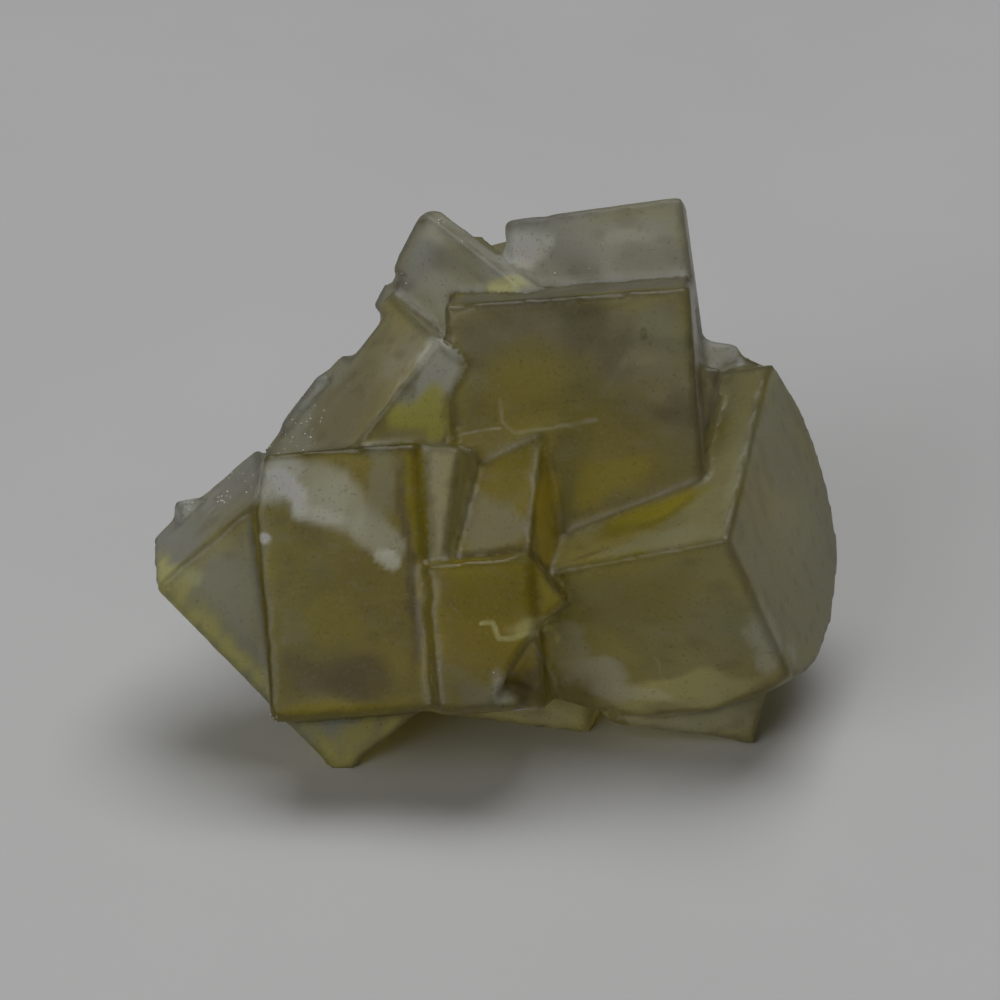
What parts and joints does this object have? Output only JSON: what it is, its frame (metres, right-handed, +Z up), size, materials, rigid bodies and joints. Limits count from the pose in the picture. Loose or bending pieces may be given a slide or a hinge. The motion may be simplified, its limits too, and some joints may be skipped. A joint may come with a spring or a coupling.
{
  "type": "raw fluorite crystal cluster",
  "caption": "Cluster of cubic fluorite crystals grown into one another, olive-yellow and clear, with cleaved corners, a curved break and a flat broken foot.",
  "frame": {"origin": "on the surface the cluster rests on, under the middle of its bounding box", "axes": "+Z up, +X to the right and +Y away as the cluster's front faces are looked at"},
  "size_m": [0.0514, 0.0396, 0.0377],
  "materials": {
    "fluorite": "satin, cloudy inside"
  },
  "bodies": {
    "root": {"fluorite_cluster": "fluorite"}
  },
  "joints": []
}
